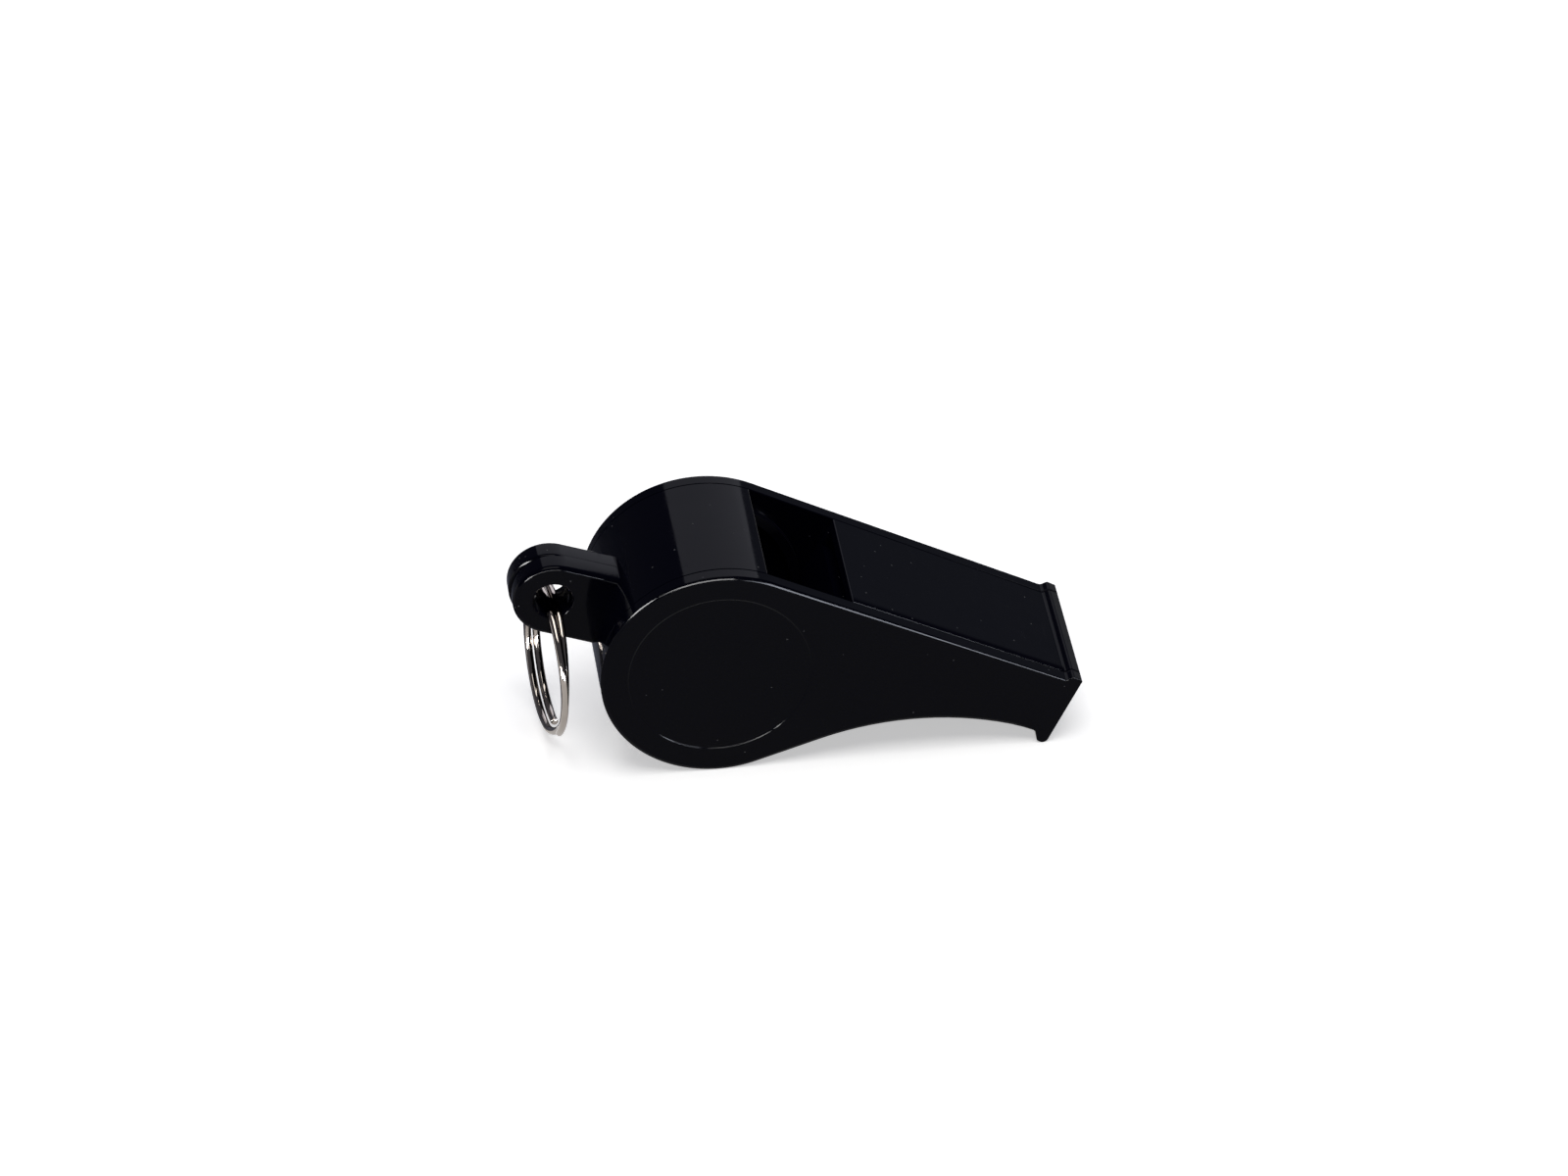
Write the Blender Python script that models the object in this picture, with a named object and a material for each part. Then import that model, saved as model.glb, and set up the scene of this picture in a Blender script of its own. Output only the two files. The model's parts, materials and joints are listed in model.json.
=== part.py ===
"""Pea whistle: a moulded body closed by two side plates, with a pea in its drum and a split ring on its lug.

Metres, +Z up. The whistle stands on z = 0 as it does on a table: on its drum and on the tooth under its
mouth. The mouth points to +X and the lug to -X, and the drum's axis runs along Y.

The body's own frame has its origin on the drum's axis. There x is the distance along the flat top towards
the mouth and z is the height off the axis, square to the top. The frame is tilted to stand the whistle up.
"""

import math

import bmesh
import bpy
from mathutils import Matrix, Vector

MM = 0.001

# Outline of the body and of both side plates
DRUM_RADIUS = 12.15 * MM
MOUTH_REACH = 35.65 * MM  # from the drum's axis to the middle of the mouth's end face
MOUTH_HEIGHT = 6.9 * MM  # from the top to the underside, behind the lip
END_TILT = math.radians(1.2)  # the end face leans back towards its top
UNDERSIDE_SLOPE = math.radians(2.6)  # of the underside where it reaches the lip
UNDERSIDE_EASE = 0.55 * MM  # between the drum's circle and that of the hollow underside
LIP_LENGTH = 1.7 * MM
LIP_RISE = 0.6 * MM  # of the lip above the top
LIP_RAMP = 0.5 * MM  # length of the slope up to the lip
TOOTH_DEPTH = 1.2 * MM  # of the tooth below the underside
TOOTH_RAMP = 0.75 * MM  # length of the slope down to the tooth
TOOTH_HEEL_LIFT = 0.15 * MM  # of the tooth's back corner above its tip
FOOT_ROUND = 0.45 * MM
SHOULDER_ROUND = 0.25 * MM
BROW_ROUND = 0.25 * MM
TIP_ROUND = 0.6 * MM
HEEL_ROUND = 0.4 * MM

# Width of the body and the side plates
BODY_WIDTH = 17.9 * MM  # over both plates, on the drum's axis
SIDE_LEAN = math.radians(0.85)  # each side leans in towards the mouth
PLATE_THICKNESS = 1.5 * MM
PLATE_GAP = 0.05 * MM  # the bonded joint between a plate and the body
PLATE_EDGE = 0.2 * MM  # round of the plate's outer edge

# Inside of the body
DRUM_WALL = 1.8 * MM
WINDOW_START = -0.45 * MM  # the window's back edge, from the top of the drum
WINDOW_LENGTH = 9.7 * MM
BLADE_LAND = 0.35 * MM  # thickness of the window's back edge
BLADE_BEVEL = math.radians(50.0)  # of the edge's inner side, off the wall's end face
ROOF_AT_WINDOW = 1.0 * MM
ROOF_AT_MOUTH = 1.9 * MM
AIRWAY_AT_WINDOW = 1.6 * MM
AIRWAY_AT_MOUTH = 2.8 * MM
AIRWAY_SIDE_WALL = 1.2 * MM

# Ring inside each plate, which locates the plate in the drum's bore
SPIGOT_CLEARANCE = 0.15 * MM
SPIGOT_WALL = 1.0 * MM
SPIGOT_HEIGHT = 1.0 * MM

# Lug on the drum's back
LUG_REACH = 17.2 * MM  # from the drum's axis to the lug's hole
LUG_ANGLE = math.radians(6.8)  # of the lug below the line of the top
LUG_RADIUS = 4.15 * MM
LUG_THICKNESS = 4.6 * MM
LUG_EDGE = 0.5 * MM
LUG_HOLE_RADIUS = 2.1 * MM
LUG_HOLE_ROUND = 0.4 * MM

# Pea
PEA_RADIUS = 5.5 * MM
PEA_CLEARANCE = 0.3 * MM

# Split ring of two turns
RING_RADIUS = 7.85 * MM  # to the middle of the wire
RING_WIRE = 0.8 * MM
RING_TURN_GAP = 0.42 * MM  # between the two turns
RING_CLEARANCE = 0.15 * MM  # in the lug's hole, as the ring swings
RING_YAW = math.radians(5.5)  # the ring hangs a little askew
RING_CROSSOVER = math.radians(40.0)  # arc in which the wire steps from one turn to the other
RING_SPLIT_AT = math.radians(-22.0)  # middle of that arc, from the ring's lowest point towards +Y
RING_STEPS = 24  # points a turn

ARC_STEP = math.radians(7.0)
CORNER_STEPS = 4
EDGE_STEPS = 3
BORE_STEPS = 64
OVERRUN = 2.0 * MM  # of a cutter past the face that it leaves

BORE_RADIUS = DRUM_RADIUS - DRUM_WALL
UNDERSIDE = DRUM_RADIUS - MOUTH_HEIGHT
LIP_START = MOUTH_REACH - LIP_LENGTH
WINDOW_END = WINDOW_START + WINDOW_LENGTH
RING_PITCH = RING_WIRE + RING_TURN_GAP


def arc(centre, radius, start, end):
    """Points of an arc, ends included, in steps of about ARC_STEP."""
    steps = max(2, math.ceil(abs(end - start) / ARC_STEP))
    angles = (start + (end - start) * i / steps for i in range(steps + 1))
    return [centre + radius * Vector((math.cos(a), math.sin(a))) for a in angles]


def corner_arc(before, corner, after, radius):
    """The centre and the two touching points of the arc that rounds a corner."""
    back = (before - corner).normalized()
    ahead = (after - corner).normalized()
    half = back.angle(ahead) / 2
    centre = corner + (back + ahead).normalized() * radius / math.sin(half)
    reach = radius / math.tan(half)
    return centre, corner + back * reach, corner + ahead * reach


def rounded_corner(before, corner, after, radius):
    """A corner's arc as points."""
    centre, first, last = corner_arc(before, corner, after, radius)
    sweep = (first - centre).angle_signed(last - centre)
    turn = Matrix.Rotation(-sweep / CORNER_STEPS, 2)
    points = [first - centre]
    for _ in range(CORNER_STEPS):
        points.append(turn @ points[-1])
    return [centre + point for point in points]


def end_face(height):
    """The point of the mouth's end face at a height."""
    middle = DRUM_RADIUS - MOUTH_HEIGHT / 2
    return Vector((MOUTH_REACH - math.tan(END_TILT) * (height - middle), height))


def tooth_corners():
    """The tooth's tip, heel and root, before they are rounded."""
    bottom = UNDERSIDE - TOOTH_DEPTH
    heel = Vector((LIP_START + TOOTH_RAMP, bottom + TOOTH_HEEL_LIFT))
    return end_face(bottom), heel, Vector((LIP_START, UNDERSIDE))


def underside_arc():
    """The hollow underside: an arc from the tooth's root, then a straight line that touches arc and drum.

    The arc has the underside's slope at the root, and its circle passes the drum's at the ease.
    """
    root = tooth_corners()[2]
    down = Vector((math.sin(UNDERSIDE_SLOPE), -math.cos(UNDERSIDE_SLOPE)))
    passed = DRUM_RADIUS + UNDERSIDE_EASE
    radius = (root.length_squared - passed**2) / (2 * (passed - root.dot(down)))
    centre = root + radius * down
    touch = math.atan2(centre.y, centre.x) - math.acos((DRUM_RADIUS + radius) / centre.length)
    start = math.atan2(root.y - centre.y, root.x - centre.x)
    return arc(centre, radius, start, touch + math.pi), touch


def whistle_outline():
    """The side view, round from the top of the drum, over the mouth and back under the drum."""
    top = Vector((0.0, DRUM_RADIUS))
    foot = Vector((LIP_START, DRUM_RADIUS))
    shoulder = foot + Vector((LIP_RAMP, LIP_RISE))
    brow = end_face(DRUM_RADIUS + LIP_RISE)
    tip, heel, root = tooth_corners()
    hollow, drum_start = underside_arc()
    corners = (
        (top, foot, shoulder, FOOT_ROUND),
        (foot, shoulder, brow, SHOULDER_ROUND),
        (shoulder, brow, tip, BROW_ROUND),
        (brow, tip, heel, TIP_ROUND),
        (tip, heel, root, HEEL_ROUND),
        (heel, root, hollow[1], FOOT_ROUND),
    )
    points = []
    for corner in corners:
        points += rounded_corner(*corner)
    points += hollow[1:]
    points += arc(Vector((0.0, 0.0)), DRUM_RADIUS, drum_start, math.radians(-270.0))
    return points


def side(along, inset=0.0):
    """Half the width at a distance along the body, less an inset."""
    return BODY_WIDTH / 2 - inset - along * math.tan(SIDE_LEAN)


def inward_normals(points):
    """Unit normals of a closed outline that runs clockwise."""
    count = len(points)
    normals = []
    for i in range(count):
        tangent = (points[(i + 1) % count] - points[i - 1]).normalized()
        normals.append(Vector((tangent.y, -tangent.x)))
    return normals


def quarter_round(radius):
    """Pairs of inset and depth along a quarter circle, from a side to the face that it rounds."""
    for step in range(EDGE_STEPS + 1):
        angle = math.radians(90.0) * step / EDGE_STEPS
        yield radius * (1 - math.cos(angle)), radius * (1 - math.sin(angle))


def material(name, colour, roughness, metallic=0.0):
    """A Principled material."""
    made = bpy.data.materials.new(name)
    made.use_nodes = True
    shader = made.node_tree.nodes["Principled BSDF"]
    shader.inputs["Base Color"].default_value = (*colour, 1.0)
    shader.inputs["Roughness"].default_value = roughness
    shader.inputs["Metallic"].default_value = metallic
    return made


def add_object(name, data, parent, finish=None):
    """Links data into the scene as an object under its parent."""
    made = bpy.data.objects.new(name, data)
    bpy.context.collection.objects.link(made)
    made.parent = parent
    if finish:
        data.materials.append(finish)
    return made


def stacked_mesh(name, loops):
    """A closed mesh through loops of equally many points, with a face across each end."""
    mesh = bpy.data.meshes.new(name)
    bm = bmesh.new()
    rows = [[bm.verts.new(point) for point in loop] for loop in loops]
    for near, far in zip(rows, rows[1:]):
        for i in range(len(near)):
            bm.faces.new((near[i - 1], near[i], far[i], far[i - 1]))
    bm.faces.new(rows[0])
    bm.faces.new(rows[-1])
    bmesh.ops.recalc_face_normals(bm, faces=bm.faces)
    bm.to_mesh(mesh)
    bm.free()
    smooth(mesh)
    return mesh


def smooth(mesh):
    """Smooth shading that keeps the sharp edges."""
    mesh.shade_smooth()
    mesh.set_sharp_from_angle(angle=math.radians(35.0))


def circle_loop(radius, across):
    """A circle round the drum's axis, at a place across the body."""
    angles = (2 * math.pi * i / BORE_STEPS for i in range(BORE_STEPS))
    return [(radius * math.cos(a), across, radius * math.sin(a)) for a in angles]


def tool(name, mesh, parent):
    """A helper object that only shapes others."""
    made = add_object(name, mesh, parent)
    made.hide_render = True
    made.display_type = "WIRE"
    return made


def shape_with(target, other, operation):
    """Adds a Boolean modifier."""
    step = target.modifiers.new(other.name, "BOOLEAN")
    step.operation = operation
    step.object = other
    step.solver = "EXACT"


def prism(outline, half):
    """Two loops of a side view, half a width each way from the middle."""
    return [[(p.x, y, p.y) for p in outline] for y in (-half, half)]


def window_tool(parent):
    """Cuts the window down to the bore, and leaves a bevelled blade at its back edge."""
    above = DRUM_RADIUS + OVERRUN
    # The bevel is drawn on until it is well inside the bore.
    bevel_depth = DRUM_WALL + OVERRUN
    depth = DRUM_RADIUS - BLADE_LAND - bevel_depth
    floor_of_cut = min(depth, math.sqrt(max(0.0, BORE_RADIUS**2 - WINDOW_END**2))) - OVERRUN
    outline = [
        Vector((WINDOW_START, above)),
        Vector((WINDOW_END, above)),
        Vector((WINDOW_END, floor_of_cut)),
        Vector((WINDOW_START, floor_of_cut)),
        Vector((WINDOW_START - bevel_depth * math.tan(BLADE_BEVEL), depth)),
        Vector((WINDOW_START, DRUM_RADIUS - BLADE_LAND)),
    ]
    return tool("window_tool", stacked_mesh("window_tool", prism(outline, BODY_WIDTH)), parent)


def airway_tool(parent):
    """The flat airway from the mouth to the window. It narrows towards the window."""
    loops = []
    run = MOUTH_REACH - WINDOW_END
    for along in (WINDOW_END - OVERRUN, MOUTH_REACH + OVERRUN):
        share = (along - WINDOW_END) / run
        roof = DRUM_RADIUS - ROOF_AT_WINDOW - (ROOF_AT_MOUTH - ROOF_AT_WINDOW) * share
        tall = AIRWAY_AT_WINDOW + (AIRWAY_AT_MOUTH - AIRWAY_AT_WINDOW) * share
        half = side(along, PLATE_THICKNESS + PLATE_GAP + AIRWAY_SIDE_WALL)
        loops.append(
            [(along, -half, roof), (along, half, roof), (along, half, roof - tall), (along, -half, roof - tall)]
        )
    return tool("airway_tool", stacked_mesh("airway_tool", loops), parent)


def lug_centre():
    """The middle of the lug's hole in the body's frame."""
    return Vector((-LUG_REACH * math.cos(LUG_ANGLE), -LUG_REACH * math.sin(LUG_ANGLE)))


def lug_outline(inset):
    """The lug's side view: a round end, with straight flanks into the drum's wall."""
    outward = lug_centre().normalized()
    heading = math.atan2(outward.y, outward.x)
    upward = Vector((-outward.y, outward.x))
    radius = LUG_RADIUS - inset
    root = outward * (DRUM_RADIUS - DRUM_WALL / 2)
    quarter = math.radians(90.0)
    end = arc(lug_centre(), radius, heading - quarter, heading + quarter)
    return [root - upward * radius] + end + [root + upward * radius]


def lug_tool(parent):
    """The lug with its rounded edges."""
    rounds = list(quarter_round(LUG_EDGE))
    half = LUG_THICKNESS / 2
    loops = []
    for inset, depth in reversed(rounds):
        loops.append([(p.x, depth - half, p.y) for p in lug_outline(inset)])
    for inset, depth in rounds:
        loops.append([(p.x, half - depth, p.y) for p in lug_outline(inset)])
    return tool("lug_tool", stacked_mesh("lug_tool", loops), parent)


def lug_hole_tool(parent):
    """The lug's hole, rounded at both faces."""
    centre = lug_centre()
    half = LUG_THICKNESS / 2
    rounds = list(quarter_round(LUG_HOLE_ROUND))
    profile = [(half + OVERRUN, LUG_HOLE_RADIUS + LUG_HOLE_ROUND)]
    profile += [(half - inset, LUG_HOLE_RADIUS + depth) for inset, depth in rounds]
    profile = [(-across, radius) for across, radius in profile] + profile[::-1]
    loops = []
    for across, radius in profile:
        loops.append([(x + centre.x, y, z + centre.y) for x, y, z in circle_loop(radius, across)[::2]])
    return tool("lug_hole_tool", stacked_mesh("lug_hole_tool", loops), parent)


def make_body(parent):
    """The moulding that holds the drum, the airway, the lip and the lug."""
    outline = whistle_outline()
    inset = PLATE_THICKNESS + PLATE_GAP
    loops = [[(p.x, sign * side(p.x, inset), p.y) for p in outline] for sign in (-1, 1)]
    finish = material("body_plastic", (0.012, 0.012, 0.015), 0.12)
    body = add_object("whistle_body", stacked_mesh("whistle_body", loops), parent, finish)
    shape_with(body, lug_tool(parent), "UNION")
    bore = [circle_loop(BORE_RADIUS, y) for y in (-BODY_WIDTH, BODY_WIDTH)]
    shape_with(body, tool("bore_tool", stacked_mesh("bore_tool", bore), parent), "DIFFERENCE")
    shape_with(body, window_tool(parent), "DIFFERENCE")
    shape_with(body, airway_tool(parent), "DIFFERENCE")
    shape_with(body, lug_hole_tool(parent), "DIFFERENCE")
    return body


def spigot_tool(name, sign, parent):
    """The ring that locates a plate in the bore. It is sunk half way into the plate."""
    outer = BORE_RADIUS - SPIGOT_CLEARANCE
    inner = outer - SPIGOT_WALL
    seat = side(0.0, PLATE_THICKNESS)
    ends = (seat - SPIGOT_HEIGHT, seat + PLATE_THICKNESS / 2)
    bm = bmesh.new()
    rings = []
    for radius, across in ((outer, ends[0]), (outer, ends[1]), (inner, ends[1]), (inner, ends[0])):
        rings.append([bm.verts.new(point) for point in circle_loop(radius, sign * across)])
    for near, far in zip(rings, rings[1:] + rings[:1]):
        for i in range(BORE_STEPS):
            bm.faces.new((near[i - 1], near[i], far[i], far[i - 1]))
    bmesh.ops.recalc_face_normals(bm, faces=bm.faces)
    mesh = bpy.data.meshes.new(name)
    bm.to_mesh(mesh)
    bm.free()
    return tool(name, mesh, parent)


def make_plate(name, sign, parent):
    """A side plate with its outer edge rounded."""
    outline = whistle_outline()
    normals = inward_normals(outline)
    loops = [[(p.x, sign * side(p.x, PLATE_THICKNESS), p.y) for p in outline]]
    for inset, depth in quarter_round(PLATE_EDGE):
        loop = []
        for point, normal in zip(outline, normals):
            moved = point + normal * inset
            loop.append((moved.x, sign * side(moved.x, depth), moved.y))
        loops.append(loop)
    finish = material(name + "_plastic", (0.012, 0.012, 0.015), 0.12)
    plate = add_object(name, stacked_mesh(name, loops), parent, finish)
    shape_with(plate, spigot_tool(name + "_spigot_tool", sign, parent), "UNION")
    return plate


def make_pea(parent):
    """The cork pea, lying on the bore's lowest line. Its parent is on the drum's axis."""
    mesh = bpy.data.meshes.new("pea")
    bm = bmesh.new()
    bmesh.ops.create_uvsphere(bm, u_segments=28, v_segments=18, radius=PEA_RADIUS)
    bm.to_mesh(mesh)
    bm.free()
    mesh.shade_smooth()
    pea = add_object("pea", mesh, parent, material("cork", (0.42, 0.25, 0.12), 0.85))
    pea.location.z = -(BORE_RADIUS - PEA_CLEARANCE - PEA_RADIUS)
    return pea


def ring_path():
    """The split ring's wire, from one cut end to the other, below a pivot where the lug carries it.

    The angle runs from the lowest point. Over the crossover the wire steps across by one pitch.
    """
    middle = 2 * math.pi + RING_SPLIT_AT
    sweep = 4 * math.pi - RING_CROSSOVER
    steps = math.ceil(sweep / (2 * math.pi) * RING_STEPS)
    points = []
    for i in range(steps + 1):
        turned = sweep * (i / steps - 0.5)
        angle = middle + turned
        share = min(1.0, max(0.0, turned / RING_CROSSOVER + 0.5))
        across = RING_PITCH * (0.5 - share * share * (3 - 2 * share))
        points.append(
            Vector((across, RING_RADIUS * math.sin(angle), -RING_RADIUS * (1 + math.cos(angle))))
        )
    return points


def least_gap(points):
    """The least clear distance between stretches of the wire that are half a turn or more apart."""
    apart = RING_STEPS // 2
    nearest = min((a - b).length for i, a in enumerate(points) for b in points[i + apart :])
    return nearest - RING_WIRE


def make_split_ring(parent):
    """The split ring: one wire of two turns. Its origin is on the pivot."""
    points = ring_path()
    print(f"split ring: least gap to itself {least_gap(points) / MM:.2f} mm")
    curve = bpy.data.curves.new("split_ring", "CURVE")
    curve.dimensions = "3D"
    curve.bevel_depth = RING_WIRE / 2
    curve.bevel_resolution = 1
    curve.use_fill_caps = True
    spline = curve.splines.new("POLY")
    spline.points.add(len(points) - 1)
    for place, point in zip(spline.points, points):
        place.co = (*point, 1.0)
    spline.use_smooth = True
    finish = material("ring_steel", (0.78, 0.76, 0.72), 0.18, 1.0)
    ring = add_object("split_ring", curve, parent, finish)
    ring.rotation_euler.z = RING_YAW
    return ring


def ring_drop():
    """How far below the middle of the lug's hole the ring's pivot lies, so that the wire swings clear."""
    straight = LUG_THICKNESS / 2 - LUG_HOLE_ROUND
    sag = RING_RADIUS - math.sqrt(RING_RADIUS**2 - straight**2)
    askew = straight * math.sin(RING_YAW)
    reach = math.hypot(RING_PITCH / 2 + askew, sag) + RING_WIRE / 2
    return LUG_HOLE_RADIUS - RING_CLEARANCE - reach


def rest_tilt():
    """The tilt at which the drum and the rounded tip of the tooth both touch the table."""
    tip, heel, _ = tooth_corners()
    brow = end_face(DRUM_RADIUS + LIP_RISE)
    centre = corner_arc(brow, tip, heel, TIP_ROUND)[0]
    return math.atan2(centre.y, centre.x) + math.asin((DRUM_RADIUS - TIP_ROUND) / centre.length)


def add_empty(name, place, tilt=0.0):
    """An empty at a place, tilted round Y."""
    made = add_object(name, None, None)
    made.location = place
    made.rotation_euler.y = tilt
    return made


def main():
    for old in list(bpy.data.objects):
        bpy.data.objects.remove(old)

    tilt = rest_tilt()
    turn = Matrix.Rotation(tilt, 3, "Y")
    hole = turn @ Vector((lug_centre().x, 0.0, lug_centre().y))
    front = max((turn @ Vector((p.x, 0.0, p.y))).x for p in whistle_outline())
    back = hole.x - LUG_RADIUS
    axis = Vector((-(front + back) / 2, 0.0, DRUM_RADIUS))

    frame = add_empty("whistle_frame", axis, tilt)
    make_body(frame)
    make_plate("left_side_plate", -1, frame)
    make_plate("right_side_plate", 1, frame)
    make_pea(add_empty("drum_axis", axis))
    pivot = axis + hole - Vector((0.0, 0.0, ring_drop()))
    make_split_ring(add_empty("ring_pivot", pivot))


main()
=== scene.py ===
"""Looks of the pea whistle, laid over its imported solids.

Every shape is worked out in millimetres. The body's own frame has its origin on the drum's axis: x runs
along the flat top to the mouth, y across the whistle with the left plate at -y, and z square to the top.
"""

import json
import math

import bmesh
import bpy
import numpy as np
from mathutils import Matrix, Vector


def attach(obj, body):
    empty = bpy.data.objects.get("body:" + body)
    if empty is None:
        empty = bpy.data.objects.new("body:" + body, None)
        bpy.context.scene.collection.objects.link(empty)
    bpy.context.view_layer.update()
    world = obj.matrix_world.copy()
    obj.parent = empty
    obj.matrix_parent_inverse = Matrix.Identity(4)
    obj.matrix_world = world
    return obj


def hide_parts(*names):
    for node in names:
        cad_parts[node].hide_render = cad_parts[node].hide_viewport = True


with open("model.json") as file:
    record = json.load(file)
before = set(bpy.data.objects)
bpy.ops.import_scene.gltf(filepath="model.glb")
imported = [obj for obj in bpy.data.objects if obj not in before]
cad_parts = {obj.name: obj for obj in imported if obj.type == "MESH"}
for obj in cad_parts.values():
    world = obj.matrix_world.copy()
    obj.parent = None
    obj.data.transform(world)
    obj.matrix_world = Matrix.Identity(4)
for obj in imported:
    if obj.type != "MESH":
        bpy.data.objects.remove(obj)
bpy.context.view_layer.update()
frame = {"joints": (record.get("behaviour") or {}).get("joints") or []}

MM = 0.001
JOINTS = {joint["name"]: np.array(joint["pos_m"]) / MM for joint in frame["joints"]}
DRUM_AXIS = JOINTS["pea_orbit"]
RING_PIVOT = JOINTS["ring_swing"]
REST_TILT = math.radians(26.704)  # drum and tooth both touch the table

# How finely shapes are drawn
ARC_STEP = 2.5  # degrees
CIRCLE_STEPS = 96
CORNER_STEPS = 8
LONG_SIDE = 0.45  # a straight side that is longer gets one more point beside its corner's arc,
SIDE_START = 0.07  # so far away from it
FLAT_MARGIN = 0.1  # a face gets one more loop, so far away from its rounded edge
SHARP_ANGLE = 32.0  # degrees between two faces, from which their edge stays sharp
MERGE_WITHIN = 1e-7  # metres
TINY = 1e-9

# Side view
DRUM_RADIUS = 12.15
BORE_RADIUS = 10.35
MOUTH_REACH = 35.65
MOUTH_MIDDLE = 8.7
END_TILT = math.radians(1.2)
UNDERSIDE = 5.25
UNDERSIDE_SLOPE = math.radians(2.6)
UNDERSIDE_EASE = 0.55
LIP_START = 33.95
LIP_RISE = 0.6
LIP_RAMP = 0.5
LIP_FALL = 0.06  # its top falls this much towards the brow
TOOTH_DEPTH = 1.2
TOOTH_RAMP = 0.75
TOOTH_HEEL_LIFT = 0.15
FOOT_ROUND, SHOULDER_ROUND, BROW_ROUND, TIP_ROUND, HEEL_ROUND = 0.45, 0.25, 0.22, 0.6, 0.4
TOP_SLACK = 0.01  # what lies no lower than this belongs to the top

# Width
HALF_WIDTH = 8.95
SIDE_LEAN = math.tan(math.radians(0.85))
PLATE_THICKNESS = 1.5
PLATE_GAP = 0.004  # a bonded joint, closed to the eye
JOINT_INSET = PLATE_THICKNESS + PLATE_GAP
PLATE_EDGE = 0.36
LIP_EDGE = 0.08
EDGE_BLEND = 2.0  # length over which one edge passes into the other
FACE_START = 1.1  # the flat face's first loop, as a share of the edge

# Chamfers at the joint: how far below the surface and how far off the joint, from the surface to the joint
JOINT_CHAMFER = 0.08
JOINT_EDGE = ((0.0, JOINT_CHAMFER), (0.5 * JOINT_CHAMFER, 0.5 * JOINT_CHAMFER), (JOINT_CHAMFER, 0.0))
RAMP_JOINT_EDGE = ((0.0, 0.065), (0.004, 0.057), (0.138, 0.0))

# A plate's edge from the side wall to the flat face: each step's slope in degrees and its length
EDGE_CORNER = ((84.0, 0.017), (72.0, 0.017), (60.0, 0.017), (48.0, 0.017), (37.0, 0.015))
EDGE_OUTER_BEVEL = ((30.5, 0.04), (30.0, 0.04), (29.5, 0.04), (26.5, 0.005))
EDGE_INNER_BEVEL = ((23.5, 0.07), (23.0, 0.07), (22.5, 0.07))
EDGE_BREAK = ((18.0, 0.012), (10.0, 0.012), (3.0, 0.01))

# Window and airway
WINDOW_START, WINDOW_END = -0.45, 9.25
WINDOW_EDGE = 0.15
BLADE_LAND = 0.35
BLADE_BEVEL = math.tan(math.radians(50.0))
BLADE_ROUND, BEVEL_ROUND = 0.1, 0.15
AIRWAY_ROOF = (11.15, 10.25)  # height at the window and at the mouth
AIRWAY_FLOOR = (9.55, 7.45)
AIRWAY_SIDE_WALL = 1.2
AIRWAY_FLARE = 0.1
FLARE_STEPS = 6

# Lug
LUG_REACH = 17.2
LUG_HEADING = math.radians(180.0 + 6.8)
LUG_RADIUS = 4.15
LUG_HALF = 2.3
LUG_EDGE = 0.5
LUG_HOLE = 1.95
LUG_HOLE_ROUND = 0.25
LUG_ROOT = 5.95  # from the hole back into the drum's wall
LUG_STEP = 0.006  # the near half of the mould sits this much lower
LUG_END_NEAR, LUG_END_FAR = 0.04, -0.18  # and its round end stops sooner than the far half's
LUG_TURN_STEPS = 120
LUG_ROUND_STEPS = 8

# Locating ring inside each plate, and the faint round recess on the outside
SPIGOT_OUTER, SPIGOT_INNER, SPIGOT_HEIGHT = 10.2, 9.2, 1.0
RECESS_RADIUS, RECESS_WALL, RECESS_DEPTH = 9.35, 0.2, 0.07
RECESS_STEPS = 8

# Pea
PEA_RADIUS = 5.45
PEA_DROP = 4.55
PEA_SEED = 7
PEA_COLUMNS, PEA_ROWS = 96, 63
PEA_WAVES, PEA_WAVE_RATE, PEA_WAVE_START, PEA_WAVE_DEPTH = 12, 5.0, 6.3, 0.06
PEA_PITS, PEA_PIT_WIDTH, PEA_PIT_DEPTH = 60, (0.04, 0.1), 0.16
PEA_SHARP_ANGLE = 80.0

# Split ring
RING_RADIUS = 7.95
RING_WIRE = 0.8
RING_PITCH = 0.93
RING_YAW = math.radians(6.9)
RING_LEAN = math.radians(1.1)
RING_LEFT = 0.2  # the ring lies this far to the left in its hole
RING_CROSSOVER = math.radians(40.0)
RING_SPLIT_AT = math.radians(-29.0)
RING_STACK_AT = math.radians(-85.0)  # where one turn lies inside the other
RING_STACK_WIDTH = math.radians(75.0)
RING_STACK = math.radians(75.0)
RING_POINTS, RING_SIDES = 241, 20
RING_END_SIZE = (0.82, 0.95, 1.0)  # the wire's thickness at a cut end, as shares,
RING_END_DEPTH = (0.0, 0.03, 0.1)  # and how far behind that end
RING_SHARP_ANGLE = 50.0

# Plastic: roughness within so many metres of the middle plane, which takes in the locating rings
DULL_ROUGHNESS = 0.45
PLATE_DULL_WITHIN = 7.3 * MM
DULL_BLEND = 0.2 * MM
BODY_DUST, PLATE_DUST = 0.8, 0.3  # share of the specks that show

# Table, whose own light rises with the distance in metres
TABLE_HALF, TABLE_CELLS = 3000.0, 12
LIFT_START, LIFT_END = 0.1, 0.7
LIFT_NEAR, LIFT_FAR = 0.5, 0.8

# Grey card behind the lug: where it starts and where it turns up, from the drum's axis
FLAG_AZIMUTH, FLAG_START, FLAG_DISTANCE = 216.0, 12.0, 100.0
FLAG_WIDTH, FLAG_HEIGHT, FLAG_LIFT = 70.0, 30.0, 0.05

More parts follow.
